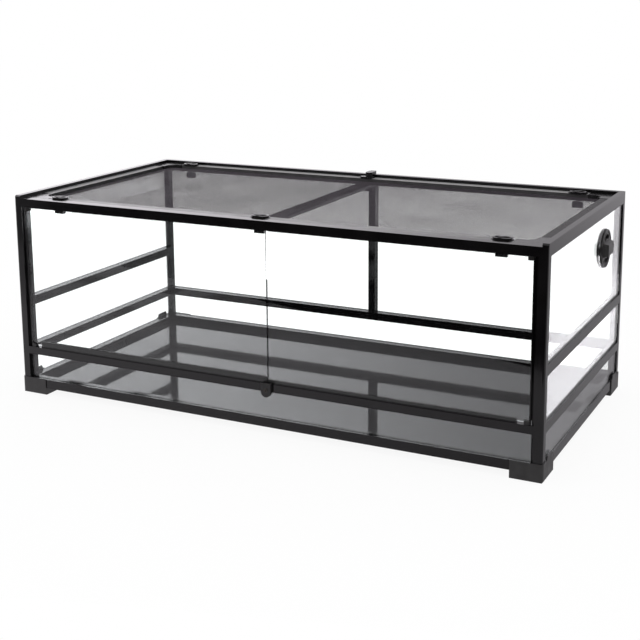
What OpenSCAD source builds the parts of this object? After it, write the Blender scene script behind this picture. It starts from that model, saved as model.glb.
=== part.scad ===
// Reptile terrarium: knock-down framed glass tank, 48 x 24 x 18 inches.
// Frame of extruded bars between moulded feet and corner caps, glass panes seated in
// grooves, two outward-swinging glass doors with a key lock, a lift-off mesh lid with
// six thumb-turn locks, and a round vent port in the right-hand pane.
// Origin: middle of the footprint, on the floor. +X right, +Y back, +Z up. Millimetres.

/* [Tank] */
// Width of the frame, left to right
tank_w = 1220; // [1000:10:1400]
// Depth of the frame, front to back
tank_d = 610; // [500:5:700]
// Height of the rim above the floor
tank_h = 457; // [440:1:600]
// Width of a corner post, each way
post_w = 25; // [25:1:30]
// Radius on the outer edge of a post
post_r = 5; // [3:0.5:8]
// Wall of the extruded bars
wall = 2; // [1.5:0.1:2.5]

/* [Feet] */
// Height of a foot's base block, under the frame
foot_base_h = 16; // [12:1:20]
// Height of a foot's skirt
foot_h = 37; // [30:1:42]
// Length of a foot along the front
foot_len_x = 65; // [50:1:80]
// Length of a foot along the side
foot_len_y = 72; // [50:1:80]
// How far a foot stands proud of the frame
foot_proud = 2; // [1:0.5:3]

/* [Glass] */
// Thickness of every pane
pane_t = 5; // [4:0.5:6]
// Recess of a pane behind the face of the frame
pane_in = 6; // [5:0.5:8]
// How deep a pane sits in a groove
groove = 4; // [3:0.5:5]
// Thickness of the floor panel
floor_t = 4; // [3:0.5:6]

/* [Rails] */
// Height of the bottom rails
bottom_rail_h = 20; // [16:1:24]
// Underside of the sill, the rear mid rail and the lower side rails
sill_z = 93; // [80:1:110]
// Height of the sill's face
sill_h = 17; // [14:1:20]
// Height of the mid rails
mid_rail_h = 19; // [16:1:22]
// Underside of the upper side rails
upper_rail_z = 204; // [180:1:240]
// Height of the upper side rails
upper_rail_h = 20; // [16:1:22]
// Width of the post in the middle of the rear
centre_post_w = 18; // [14:1:24]
// Depth of the post in the middle of the rear
centre_post_d = 20; // [16:1:25]
// Height of the top rails and the corner caps
top_rail_h = 25; // [22:1:30]
// Thickness of the rim wall of a top rail
rim_t = 13; // [10:1:15]
// Depth of the recess that the lid sits in, below the rim
lid_recess = 16; // [12:1:18]
// How far the front rail stays below the rim
front_drop = 6; // [4:1:8]
// Width of the front rail's top face
front_rail_w = 22; // [18:1:24]

/* [Doors] */
// Where the two doors meet, right of the middle
seam_x = 27.5; // [-40:0.5:40]
// Gap between the two doors
seam_gap = 2; // [1:0.5:3]
// Radius of a door's pivot pin
door_pin_r = 2.5; // [2:0.1:3]
// Radial clearance of every pin in its bore
fit_gap = 0.05; // [0.02:0.01:0.1]
// Length of a pivot block along the door
block_len = 12.5; // [12:0.5:30]
// Height of a pivot block
block_h = 7.5; // [7:0.5:16]
// Thickness of a pivot block
block_t = 12; // [10:0.5:12.5]
// Height of the left door's bottom strip
left_strip_h = 12; // [6:1:16]
// Height of the right door's bottom strip
right_strip_h = 6; // [4:1:16]

/* [Lock] */
// Width of the lock housing
lock_w = 23; // [20:1:28]
// Underside of the lock housing
lock_z = 83; // [78:1:90]
// Height of the lock housing
lock_h = 30; // [26:1:34]
// How far the lock housing stands in front of the sill
lock_t = 7; // [6:0.5:9]
// Radius of the lock's plug
plug_r = 4.5; // [3.5:0.1:5]
// Travel of the bolt
bolt_travel = 6; // [4:0.5:7]

/* [Lid] */
// Width of a lid bar
lid_bar_w = 25; // [20:1:30]
// Thickness of the lid frame
lid_bar_h = 9; // [7:0.5:10]
// Gap between the lid and the rim
lid_gap = 1; // [0.5:0.5:3]
// Length of a lid corner's arms
corner_arm = 60; // [40:1:80]
// Width of the bar across the middle of the lid
cross_w = 38; // [25:1:45]
// Thickness of the mesh
mesh_t = 0.6; // [0.4:0.1:1]
// Place of the outer lid locks, either side of the middle
lock_x = 511; // [480:1:530]
// Shift of the middle lid locks, left of the middle
mid_lock_x = 3; // [0:1:15]
// Length of a lid lock's knob
knob_len = 38; // [30:1:40]
// Width of a lid lock's knob
knob_w = 22; // [16:1:24]
// Length of a lid lock's tail
tail_len = 24; // [22:1:32]

/* [Port] */
// Centre of the port, behind the middle
port_y = 134; // [80:1:180]
// Centre of the port above the floor
port_z = 361; // [300:1:380]
// Outer radius of the port
port_r = 42; // [30:1:48]
// Number of vent windows in the port
port_windows = 2; // [2:1:3]

/* [Hidden] */

$fn = 64;
// Overshoot of a cutting shape past the face that it cuts
cut = 1;
hw = tank_w / 2;
hd = tank_d / 2;

// Levels
frame_z = foot_base_h;
bottom_rail_top = frame_z + bottom_rail_h;
ledge_t = 2;
floor_z = frame_z + ledge_t;
sill_top = sill_z + sill_h;
mid_rail_top = sill_z + mid_rail_h;
upper_rail_top = upper_rail_z + upper_rail_h;
top_rail_z = tank_h - top_rail_h;
ledge_z = tank_h - lid_recess;
front_rail_top = tank_h - front_drop;

// Post section: width of the outer face, and of the pane's seat beside it
post_face = 18.5;
seat_u = 21.5;
pane_back = pane_in + pane_t;
chamber_u = 13;

// Doors
axis_x = hw - 31.5;
door_y = -hd + 6.5;
door_z0 = sill_top + 4;
door_z1 = top_rail_z - 2;
door_edge = hw - 27;
stop_end = hw - 54;
stop_step = 2;
stop_h = 6;
block_z0 = sill_top + 0.5;
block_z1 = top_rail_z - 0.5;
pin_depth = 6;
pin_bore = 6.5;
strip_wall = 1;
strip_z = sill_top + stop_step + 0.4;

// Lock
lock_y = -hd - lock_t;
lock_plate_t = 3.5;
plug_z = lock_z + 15;
bolt_w = 18;
bolt_top = strip_z;
bolt_bottom = 93.5;
cam_t = 1.2;
cam_pin_r = 1.2;

// Lid
lid_x = hw - rim_t - lid_gap;
lid_y_rear = hd - rim_t - lid_gap;
lid_y_front = -hd + front_rail_w + 2;
front_ledge_w = 6;
lid_top = ledge_z + lid_bar_h;
mesh_z = ledge_z + 0.8;
mesh_tuck = 2;
plate_t = 1.5;
lock_y_front = -268;
lock_y_rear = 271.6;
lock_y_rear_middle = 274;
stem_r = 3.5;
knob_z = lid_top + plate_t + 0.3;
knob_base_t = 1.5;
knob_wall = 4;
knob_h = 3;
tail_z = top_rail_z - 14;
tail_h = 13;
tail_w = 10;

// Port
port_hole_r = 36;
barrel_t = 3;
flange_t = 3;
dial_t = 4.5;
hub_r = 8;
port_pin_r = 4;
pane_x = hw - pane_in;

// ---------- placing ----------

// Puts a shape drawn for the front left corner, with that corner of the frame at the
// origin, on any corner: sx and sy are -1 or 1
module at_corner(sx, sy) {
    mirror([sx > 0 ? 1 : 0, 0, 0])
        mirror([0, sy > 0 ? 1 : 0, 0])
            translate([-hw, -hd, 0])
                children();
}

// Extrudes a section drawn in (depth behind the face, height) along the front face,
// from x0 to x1
module along_front(x0, x1) {
    translate([x0, -hd, 0])
        rotate([90, 0, 90])
            linear_extrude(x1 - x0)
                children();
}

// The same along the rear face
module along_rear(x0, x1) {
    mirror([0, 1, 0])
        along_front(x0, x1)
            children();
}

// The same along the left face, from y0 to y1
module along_left(y0, y1) {
    translate([-hw, y1, 0])
        rotate([90, 0, 0])
            linear_extrude(y1 - y0)
                children();
}

// The same along the right face
module along_right(y0, y1) {
    mirror([1, 0, 0])
        along_left(y0, y1)
            children();
}

// ---------- sections ----------

// Square with its outer corner rounded
module rounded_corner_square(size_x, size_y, r) {
    difference() {
        square([size_x, size_y]);
        difference() {
            translate([-cut, -cut])
                square(r + cut);
            translate([r, r])
                circle(r);
        }
    }
}

// Outline of a corner post, with the seats for the panes on its two inner edges
module post_outline() {
    difference() {
        rounded_corner_square(post_w, post_w, post_r);
        translate([post_face, -cut])
            square([post_w, pane_in + cut]);
        translate([seat_u, -cut])
            square([post_w, pane_back + cut]);
        translate([-cut, post_face])
            square([pane_in + cut, post_w]);
        translate([-cut, seat_u])
            square([pane_back + cut, post_w]);
    }
}

// Hollow inside a corner post
module post_chamber() {
    w = wall;
    f = post_face - wall;
    b = post_w - wall;
    polygon([[2 * w, w], [f, w], [f, chamber_u], [b, chamber_u], [b, b],
             [chamber_u, b], [chamber_u, f], [w, f], [w, 2 * w]]);
}

// Section of a bottom rail: groove for the pane on top
module bottom_rail_section() {
    difference() {
        translate([0, frame_z])
            square([post_w, bottom_rail_h]);
        translate([pane_in, bottom_rail_top - groove])
            square([pane_t, groove + cut]);
        translate([wall, frame_z + wall])
            square([post_w - 2 * wall, bottom_rail_h - groove - 2 * wall]);
    }
}

// Flange under a bottom rail that carries the floor panel
module floor_ledge_section() {
    translate([post_w, frame_z])
        square([10, ledge_t]);
}

// Section of a rail with a pane below it and a pane above it
module mid_rail_section(z, h) {
    difference() {
        translate([0, z])
            square([post_w, h]);
        translate([pane_in, z - cut])
            square([pane_t, groove + cut]);
        translate([pane_in, z + h - groove])
            square([pane_t, groove + cut]);
        polygon([[wall, z + groove + wall], [pane_back + wall, z + groove + wall],
                 [pane_back + wall, z + wall], [post_w - wall, z + wall],
                 [post_w - wall, z + h - wall], [pane_back + wall, z + h - wall],
                 [pane_back + wall, z + h - groove - wall], [wall, z + h - groove - wall]]);
    }
}

// Section of a side or rear top rail: a rim wall, and a ledge that carries the lid
module top_rail_section() {
    difference() {
        union() {
            translate([0, top_rail_z])
                square([rim_t, top_rail_h]);
            translate([0, top_rail_z])
                square([post_w, ledge_z - top_rail_z]);
        }
        translate([pane_in, top_rail_z - cut])
            square([pane_t, groove + cut]);
        translate([wall, top_rail_z + groove + wall])
            square([rim_t - 2 * wall, top_rail_h - groove - 2 * wall]);
        translate([rim_t, top_rail_z + wall])
            square([post_w - rim_t - wall, ledge_z - top_rail_z - 2 * wall]);
    }
}

// Section of the front top rail, which has no pane and no raised rim
module front_rail_section() {
    difference() {
        union() {
            translate([0, top_rail_z])
                square([front_rail_w, front_rail_top - top_rail_z]);
            translate([0, top_rail_z])
                square([front_rail_w + front_ledge_w, ledge_z - top_rail_z]);
        }
        translate([wall, top_rail_z + wall])
            square([front_rail_w - 2 * wall, front_rail_top - top_rail_z - 2 * wall]);
    }
}

// Section of the front sill: groove for the lower pane, and a step under the doors
module sill_section() {
    difference() {
        translate([0, sill_z])
            square([post_w, sill_h]);
        translate([pane_in, sill_z - cut])
            square([pane_t, groove + cut]);
        translate([wall, sill_z + groove + wall])
            square([post_w - 2 * wall, sill_h - groove - 2 * wall]);
    }
}

// Step on the sill that the doors close over, with the lip that stops them
module door_stop_section() {
    translate([wall, sill_top])
        square([12, stop_step]);
    translate([pane_back, sill_top])
        square([2.5, stop_h]);
}

// ---------- feet, posts and caps ----------

// Side view of a foot, with its lower edge bevelled
module foot_side(len, h) {
    bevel = 2;
    polygon([[bevel, 0], [len, 0], [len, h], [0, h], [0, bevel]]);
}

module foot(sx, sy) {
    pocket_top = foot_base_h - 4;
    rib = 3;
    lip_h = 8;
    color([0.11, 0.11, 0.11])
        at_corner(sx, sy)
            translate([-foot_proud, -foot_proud, 0]) {
                difference() {
                    intersection() {
                        linear_extrude(foot_h)
                            rounded_corner_square(foot_len_x, foot_len_y, post_r + foot_proud);
                        translate([0, foot_len_y, 0])
                            rotate([90, 0, 0])
                                linear_extrude(foot_len_y)
                                    foot_side(foot_len_x, foot_h);
                        rotate([90, 0, 90])
                            linear_extrude(foot_len_x)
                                foot_side(foot_len_y, foot_h);
                    }
                    // Room for the frame, behind the skirts
                    translate([foot_proud, foot_proud, foot_base_h])
                        linear_extrude(foot_h)
                            rounded_corner_square(foot_len_x, foot_len_y, post_r);
                    // Pockets under the base, between its ribs
                    for (i = [0, 1], j = [0, 1]) {
                        pocket_x = (foot_len_x - 3 * rib) / 2;
                        pocket_y = (foot_len_y - 3 * rib) / 2;
                        translate([rib + i * (pocket_x + rib), rib + j * (pocket_y + rib), -cut])
                            linear_extrude(pocket_top + cut)
                                rounded_corner_square(pocket_x, pocket_y, i + j == 0 ? 6 : 1);
                    }
                }
                // Clip that stands in front of the side pane
                translate([0, 27, foot_h])
                    rotate([90, 0, 90])
                        linear_extrude(foot_proud)
                            polygon([[0, 0], [40, 0], [36, lip_h], [4, lip_h]]);
            }
}

module post(sx, sy) {
    color([0.09, 0.09, 0.09])
        at_corner(sx, sy)
            translate([0, 0, frame_z])
                linear_extrude(top_rail_z - frame_z)
                    difference() {
                        post_outline();
                        post_chamber();
                    }
}

// The solid outline of all four posts, which the rails are coped round
module post_cope() {
    for (sx = [-1, 1], sy = [-1, 1])
        at_corner(sx, sy)
            linear_extrude(top_rail_z)
                post_outline();
}

// Cap over a post at the front, with the front end of the side rim on it: its upper
// edge is eased
module front_cap() {
    rim_start = 3;
    rim_ease = 3;
    difference() {
        union() {
            translate([0, 0, top_rail_z])
                linear_extrude(front_rail_top - top_rail_z)
                    rounded_corner_square(post_w, post_w, post_r);
            intersection() {
                rotate([90, 0, 90])
                    linear_extrude(rim_t)
                        polygon([[rim_start, top_rail_z], [rim_start, tank_h - rim_ease],
                                 [rim_start + rim_ease, tank_h], [post_w, tank_h],
                                 [post_w, top_rail_z]]);
                translate([0, 0, top_rail_z])
                    linear_extrude(top_rail_h)
                        rounded_corner_square(post_w, post_w, post_r);
            }
        }
        translate([rim_t, front_rail_w, ledge_z])
            cube(post_w);
    }
}

// Cap over a post at the rear
module rear_cap() {
    difference() {
        translate([0, 0, top_rail_z])
            linear_extrude(top_rail_h)
                rounded_corner_square(post_w, post_w, post_r);
        translate([rim_t, rim_t, ledge_z])
            cube(post_w);
    }
}

module top_corner_caps() {
    color([0.1, 0.1, 0.1])
        difference() {
            union()
                for (sx = [-1, 1]) {
                    at_corner(sx, -1)
                        front_cap();
                    at_corner(sx, 1)
                        rear_cap();
                }
            rear_upper_pane_box(-hw, hw);
            for (sx = [-1, 1])
                side_pane_box(sx, upper_rail_top, top_rail_z);
        }
}

// ---------- rails ----------

module bottom_rail_front() {
    color([0.09, 0.09, 0.09])
        difference() {
            union() {
                along_front(-hw + post_face, hw - post_face)
                    bottom_rail_section();
                along_front(-hw + post_w, hw - post_w)
                    floor_ledge_section();
            }
            post_cope();
        }
}

module bottom_rail_rear() {
    mirror([0, 1, 0])
        bottom_rail_front();
}

module bottom_rail_left() {
    color([0.09, 0.09, 0.09])
        difference() {
            union() {
                along_left(-hd + post_face, hd - post_face)
                    bottom_rail_section();
                along_left(-hd + post_w + 10, hd - post_w - 10)
                    floor_ledge_section();
            }
            post_cope();
        }
}

module bottom_rail_right() {
    mirror([1, 0, 0])
        bottom_rail_left();
}

module rear_mid_rail() {
    color([0.09, 0.09, 0.09])
        difference() {
            along_rear(-hw + post_face, hw - post_face)
                mid_rail_section(sill_z, mid_rail_h);
            post_cope();
        }
}

module side_rail(sx, z, h) {
    color([0.09, 0.09, 0.09])
        mirror([sx > 0 ? 1 : 0, 0, 0])
            difference() {
                along_left(-hd + post_face, hd - post_face)
                    mid_rail_section(z, h);
                post_cope();
            }
}

module top_rail_left() {
    color([0.09, 0.09, 0.09])
        along_left(-hd + post_w, hd - post_w)
            top_rail_section();
}

module top_rail_right() {
    mirror([1, 0, 0])
        top_rail_left();
}

module top_rail_rear() {
    color([0.09, 0.09, 0.09])
        along_rear(-hw + post_w, hw - post_w)
            top_rail_section();
}

// Both ends of a door's hinge line
module at_door_axes() {
    for (sx = [-1, 1])
        translate([sx * axis_x, door_y, 0])
            children();
}

module top_rail_front() {
    boss_h = pin_bore + wall;
    color([0.09, 0.09, 0.09])
        difference() {
            union() {
                along_front(-hw + post_w, hw - post_w)
                    front_rail_section();
                at_door_axes()
                    translate([0, 0, top_rail_z + cut])
                        cylinder(h = boss_h, r = 2 * door_pin_r);
            }
            at_door_axes()
                translate([0, 0, top_rail_z - cut])
                    cylinder(h = pin_bore + cut, r = door_pin_r + fit_gap);
        }
}

module front_sill() {
    boss_z = sill_z + groove + wall;
    color([0.09, 0.09, 0.09])
        difference() {
            union() {
                along_front(-hw + post_face, hw - post_face)
                    sill_section();
                along_front(-stop_end, stop_end)
                    door_stop_section();
                at_door_axes()
                    translate([0, 0, boss_z - cut / 2])
                        cylinder(h = sill_top - boss_z - cut / 2, r = 2 * door_pin_r);
            }
            at_door_axes()
                translate([0, 0, sill_top - pin_bore])
                    cylinder(h = pin_bore + cut, r = door_pin_r + fit_gap);
            post_cope();
        }
}

module rear_centre_post() {
    w = centre_post_w;
    color([0.09, 0.09, 0.09])
        translate([0, hd, mid_rail_top])
            linear_extrude(top_rail_z - mid_rail_top)
                difference() {
                    translate([-w / 2, -centre_post_d])
                        square([w, centre_post_d]);
                    for (side = [-1, 1])
                        translate([side * (w / 2), -pane_in - pane_t / 2])
                            square([2 * groove, pane_t], center = true);
                    translate([-w / 2 + wall, -centre_post_d + wall])
                        square([w - 2 * wall, centre_post_d - pane_back - 2 * wall]);
                }
}

// ---------- glass ----------

module glass() {
    color([0.8, 0.87, 0.87, 0.3])
        children();
}

// A pane behind the front face, between two rails
module front_pane(z0, z1, x0, x1) {
    translate([x0, -hd + pane_in, z0 - groove])
        cube([x1 - x0, pane_t, z1 - z0 + 2 * groove]);
}

// A pane in a side of the frame, between two rails
module side_pane_box(sx, z0, z1) {
    mirror([sx > 0 ? 1 : 0, 0, 0])
        translate([-hw + pane_in, -hd + seat_u, z0 - groove])
            cube([pane_t, tank_d - 2 * seat_u, z1 - z0 + 2 * groove]);
}

module rear_upper_pane_box(x0, x1) {
    seat = hw - seat_u;
    left = max(x0, -seat);
    right = min(x1, seat);
    mirror([0, 1, 0])
        front_pane(mid_rail_top, top_rail_z, left, right);
}

module front_lower_glass() {
    glass()
        front_pane(bottom_rail_top, sill_z, -hw + seat_u, hw - seat_u);
}

module rear_lower_glass() {
    mirror([0, 1, 0])
        front_lower_glass();
}

module rear_upper_glass(sx) {
    edge = centre_post_w / 2 - groove;
    glass()
        if (sx < 0)
            rear_upper_pane_box(-hw, -edge);
        else
            rear_upper_pane_box(edge, hw);
}

module side_glass(sx, z0, z1) {
    glass()
        side_pane_box(sx, z0, z1);
}

// The upper right pane has the hole for the port
module right_upper_glass() {
    glass()
        difference() {
            side_pane_box(1, upper_rail_top, top_rail_z);
            at_port()
                translate([0, 0, -4 * pane_t])
                    cylinder(h = 8 * pane_t, r = port_hole_r);
        }
}

module floor_panel() {
    gap = 1;
    color([0.14, 0.14, 0.14])
        translate([-hw + post_w + gap, -hd + post_w + gap, floor_z])
            cube([tank_w - 2 * (post_w + gap), tank_d - 2 * (post_w + gap), floor_t]);
}

// ---------- port ----------

// On the port's axis, with Z pointing out of the right side and 0 on the pane's face
module at_port() {
    translate([pane_x, port_y, port_z])
        rotate([0, 90, 0])
            children();
}

// Flat sector of a ring, centred on the angle a
module ring_sector(r0, r1, a, spread) {
    steps = 12;
    polygon(concat(
        [for (i = [0 : steps]) let (t = a - spread / 2 + spread * i / steps) r0 * [cos(t), sin(t)]],
        [for (i = [0 : steps]) let (t = a + spread / 2 - spread * i / steps) r1 * [cos(t), sin(t)]]));
}

module vent_windows(r0, r1, spread) {
    for (i = [0 : port_windows - 1])
        ring_sector(r0, r1, i * 360 / port_windows, spread);
}

module port_outer_flange() {
    barrel_len = 12;
    barrel_r = port_hole_r - 0.5;
    tab_h = 17;
    color([0.12, 0.12, 0.12])
        at_port() {
            difference() {
                union() {
                    cylinder(h = flange_t, r = port_r);
                    translate([-tab_h / 2, -port_r - 4, 0])
                        cube([tab_h, 12, flange_t]);
                }
                translate([0, 0, -cut])
                    linear_extrude(flange_t + 2 * cut)
                        vent_windows(14, 31, 84);
                translate([0, 0, -cut])
                    cylinder(h = flange_t + 2 * cut, r = port_pin_r + fit_gap);
            }
            translate([0, 0, -barrel_len])
                difference() {
                    cylinder(h = barrel_len, r = barrel_r);
                    translate([0, 0, -cut])
                        cylinder(h = barrel_len + 2 * cut, r = barrel_r - barrel_t);
                }
        }
}

module port_inner_flange() {
    color([0.12, 0.12, 0.12])
        at_port()
            translate([0, 0, -pane_t - flange_t])
                difference() {
                    cylinder(h = flange_t, r = port_r);
                    translate([0, 0, -cut])
                        cylinder(h = flange_t + 2 * cut, r = port_hole_r - 0.5);
                }
}

// Turning shutter of the port, with its own windows, raised rings and a grip bar
module port_dial() {
    lift = 0.3;
    base = flange_t + lift;
    face = base + dial_t;
    grip_l = 58;
    grip_w = 30;
    grip_h = 10;
    color([0.13, 0.13, 0.13])
        at_port() {
            difference() {
                union() {
                    translate([0, 0, base])
                        cylinder(h = dial_t, r = port_r - 1);
                    translate([0, 0, -2])
                        cylinder(h = base + cut + 2, r = port_pin_r);
                }
                translate([0, 0, base - cut])
                    linear_extrude(dial_t + 2 * cut)
                        vent_windows(21, 31, 76);
                translate([0, 0, face - 1.5])
                    difference() {
                        cylinder(h = 3, r = 37);
                        translate([0, 0, -cut])
                            cylinder(h = 5, r = 33);
                    }
            }
            // Grip bar across the dial, lying along the tank's depth: its sides slope in
            difference() {
                translate([0, 0, face - cut])
                    linear_extrude(grip_h + cut)
                        square([grip_w, grip_l], center = true);
                for (side = [-1, 1]) {
                    translate([side * grip_w / 2, 0, face])
                        rotate([0, side * -18, 0])
                            translate([side > 0 ? 0 : -2 * grip_w, -grip_l, 0])
                                cube([2 * grip_w, 2 * grip_l, 3 * grip_h]);
                    translate([0, side * grip_l / 2, face])
                        rotate([side * 35, 0, 0])
                            translate([-grip_w, side > 0 ? 0 : -2 * grip_w, 0])
                                cube([2 * grip_w, 2 * grip_w, 3 * grip_h]);
                }
            }
        }
}

// ---------- doors ----------

module door_glass_box(x0, x1) {
    translate([x0, door_y - pane_t / 2, door_z0])
        cube([x1 - x0, pane_t, door_z1 - door_z0]);
}

// One pivot block: round about the hinge line, square along the glass
module pivot_block(z0) {
    translate([0, 0, z0]) {
        cylinder(h = block_h, r = block_t / 2);
        translate([0, -block_t / 2, 0])
            cube([block_len - block_t / 2, block_t, block_h]);
    }
}

// The two pivot blocks of the left door, with their pins
module door_pivots() {
    color([0.12, 0.12, 0.12])
        difference() {
            translate([-axis_x, door_y, 0]) {
                pivot_block(block_z0);
                pivot_block(block_z1 - block_h);
                translate([0, 0, block_z0 - pin_depth])
                    cylinder(h = pin_depth + cut, r = door_pin_r);
                translate([0, 0, block_z1 - cut])
                    cylinder(h = pin_depth + cut, r = door_pin_r);
            }
            door_glass_box(-door_edge, 0);
        }
}

// Channel over the lower edge of a door's glass
module door_strip(x0, x1, h) {
    color([0.35, 0.36, 0.36, 0.6])
        difference() {
            translate([x0, door_y - pane_t / 2 - strip_wall, strip_z])
                cube([x1 - x0, pane_t + 2 * strip_wall, h]);
            door_glass_box(-door_edge, door_edge);
        }
}

module left_door_glass() {
    glass()
        door_glass_box(-door_edge, seam_x - seam_gap / 2);
}

module right_door_glass() {
    glass()
        door_glass_box(seam_x + seam_gap / 2, door_edge);
}

module left_door_pivots() {
    door_pivots();
}

module right_door_pivots() {
    mirror([1, 0, 0])
        door_pivots();
}

module left_door_strip() {
    door_strip(-stop_end, seam_x - seam_gap / 2, left_strip_h);
}

module right_door_strip() {
    door_strip(seam_x + seam_gap / 2, stop_end, right_strip_h);
}

// ---------- key lock ----------

// On the lock's axis, with Z pointing out of the front and 0 on the sill's face
module at_lock() {
    translate([seam_x, -hd, plug_z])
        rotate([90, 0, 0])
            children();
}

module lock_housing() {
    r = lock_w / 2;
    below = plug_z - lock_z;
    above = lock_h - below;
    pocket = lock_t - lock_plate_t;
    pocket_w = bolt_w + 0.4;
    pocket_z = bolt_bottom - plug_z - 0.5;
    color([0.12, 0.12, 0.12])
        at_lock()
            difference() {
                union() {
                    linear_extrude(lock_t) {
                        translate([0, r - below])
                            circle(r);
                        translate([-r, r - below])
                            square([lock_w, above + below - r]);
                    }
                    translate([-r, above - 2.5, 0])
                        cube([lock_w, 2.5, lock_t + 1]);
                }
                translate([-pocket_w / 2, pocket_z, -cut])
                    cube([pocket_w, lock_h, pocket + cut]);
                cylinder(h = 2 * lock_t, r = plug_r + fit_gap);
            }
}

module lock_plug() {
    pocket = lock_t - lock_plate_t;
    key_w = 1.3;
    key_h = 5.5;
    color([0.3, 0.3, 0.3])
        at_lock()
            difference() {
                union() {
                    translate([0, 0, pocket - 0.1])
                        cylinder(h = lock_plate_t + 1, r = plug_r);
                    translate([-cam_pin_r, -cam_pin_r, pocket - 0.1 - cam_t])
                        cube([bolt_travel + cam_pin_r, 2 * cam_pin_r, cam_t]);
                    translate([bolt_travel, 0, 0.4])
                        cylinder(h = pocket - 0.5, r = cam_pin_r);
                }
                translate([-key_w / 2, -key_h / 2, lock_t - 1.5])
                    cube([key_w, key_h, 4]);
            }
}

module lock_bolt() {
    slack = 0.2;
    drift = 0.21 * bolt_travel;
    slot_low = -cam_pin_r - slack;
    slot_high = cam_pin_r + drift + slack;
    color([0.35, 0.35, 0.35])
        at_lock()
            difference() {
                translate([-bolt_w / 2, bolt_bottom - plug_z, 0.1])
                    cube([bolt_w, bolt_top - bolt_bottom, 1.9]);
                translate([-cam_pin_r - slack, slot_low, -cut])
                    cube([bolt_travel + 2 * (cam_pin_r + slack), slot_high - slot_low, 4]);
            }
}

// ---------- lid ----------

// Section of a lid bar, from its outer edge inwards: a groove holds the mesh
module lid_bar_section() {
    difference() {
        translate([0, ledge_z])
            square([lid_bar_w, lid_bar_h]);
        translate([lid_bar_w - mesh_tuck, mesh_z])
            square([mesh_tuck + cut, mesh_t]);
        translate([wall, ledge_z + 2.6])
            square([lid_bar_w - 2 * wall - 1, lid_bar_h - 2.6 - 1.6]);
    }
}

module mesh_sheet() {
    x = lid_x - lid_bar_w + mesh_tuck;
    y0 = lid_y_front + lid_bar_w - mesh_tuck;
    y1 = lid_y_rear - lid_bar_w + mesh_tuck;
    translate([-x, y0, mesh_z])
        cube([2 * x, y1 - y0, mesh_t]);
}

// Places of the six locks: middle of the stem, and half the turn's direction
function lock_spots() = [
    [-lock_x, lock_y_front], [-mid_lock_x, lock_y_front], [lock_x, lock_y_front],
    [-lock_x, lock_y_rear], [-mid_lock_x, lock_y_rear_middle], [lock_x, lock_y_rear]
];

module stem_bores() {
    for (p = lock_spots())
        translate([p[0], p[1], ledge_z - 2 * cut])
            cylinder(h = lid_bar_h + 9 * cut, r = stem_r + fit_gap);
}

module lid_bar_front() {
    color([0.1, 0.1, 0.1])
        difference() {
            translate([-lid_x + corner_arm, lid_y_front, 0])
                rotate([90, 0, 90])
                    linear_extrude(2 * (lid_x - corner_arm))
                        lid_bar_section();
            stem_bores();
        }
}

module lid_bar_rear() {
    color([0.1, 0.1, 0.1])
        difference() {
            translate([lid_x - corner_arm, lid_y_rear, 0])
                rotate([90, 0, -90])
                    linear_extrude(2 * (lid_x - corner_arm))
                        lid_bar_section();
            stem_bores();
        }
}

module lid_bar_left() {
    y0 = lid_y_front + corner_arm;
    y1 = lid_y_rear - corner_arm;
    color([0.1, 0.1, 0.1])
        translate([-lid_x, y1, 0])
            rotate([90, 0, 0])
                linear_extrude(y1 - y0)
                    lid_bar_section();
}

module lid_bar_right() {
    mirror([1, 0, 0])
        lid_bar_left();
}

// Moulded corner that joins two lid bars: its inner edge runs slantwise
module lid_corner() {
    w = lid_bar_w + 3;
    a = corner_arm;
    linear_extrude(lid_bar_h + 0.6)
        polygon([[0, 0], [a, 0], [a, w], [w + 14, w], [w, w + 14], [w, a], [0, a]]);
}

module oval(len, w) {
    translate([-(len - w) / 2, -w / 2])
        square([len - w, w]);
    for (side = [-1, 1])
        translate([side * (len - w) / 2, 0])
            circle(w / 2);
}

module lid_plates() {
    color([0.16, 0.16, 0.16])
        difference() {
            union() {
                for (sx = [0, 1]) {
                    mirror([sx, 0, 0])
                        translate([-lid_x, lid_y_front, ledge_z])
                            lid_corner();
                    mirror([sx, 0, 0])
                        translate([-lid_x, lid_y_rear, ledge_z])
                            mirror([0, 1, 0])
                                lid_corner();
                }
                for (i = [0 : 5])
                    if (i != 4)
                        translate([lock_spots()[i][0], lock_spots()[i][1], lid_top])
                            linear_extrude(plate_t)
                                oval(knob_len + 6, knob_w + 2);
                // Block under the lock in the middle of the rear
                translate([-mid_lock_x - 21, lock_y_rear_middle - 10, lid_top])
                    linear_extrude(plate_t + 3)
                        polygon([[4, 0], [31, 0], [31, 24], [0, 24], [0, 4]]);
            }
            mesh_sheet();
            stem_bores();
        }
}

module lid_mesh() {
    color([0.3, 0.3, 0.31])
        mesh_sheet();
}

module lid_cross_bar() {
    lap = 6;
    bar_h = 7;
    y0 = lid_y_front + lid_bar_w - lap;
    y1 = lid_y_rear - lid_bar_w + lap - 2;
    color([0.12, 0.12, 0.12])
        translate([-cross_w / 2, y1, ledge_z - bar_h])
            rotate([90, 0, 0])
                linear_extrude(y1 - y0)
                    difference() {
                        square([cross_w, bar_h]);
                        translate([wall, -cut])
                            square([cross_w - 2 * wall, bar_h - wall + cut]);
                    }
}

// Stem through the lid bar, with the tail that turns in under the frame
module lock_stem(stem_top, tail = tail_len) {
    translate([0, 0, tail_z + tail_h - cut])
        cylinder(h = stem_top - tail_z - tail_h + 2 * cut, r = stem_r);
    translate([0, 0, tail_z])
        linear_extrude(tail_h)
            intersection() {
                square([tail, tail_w], center = true);
                circle(tail / 2 + 0.4);
            }
}

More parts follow.
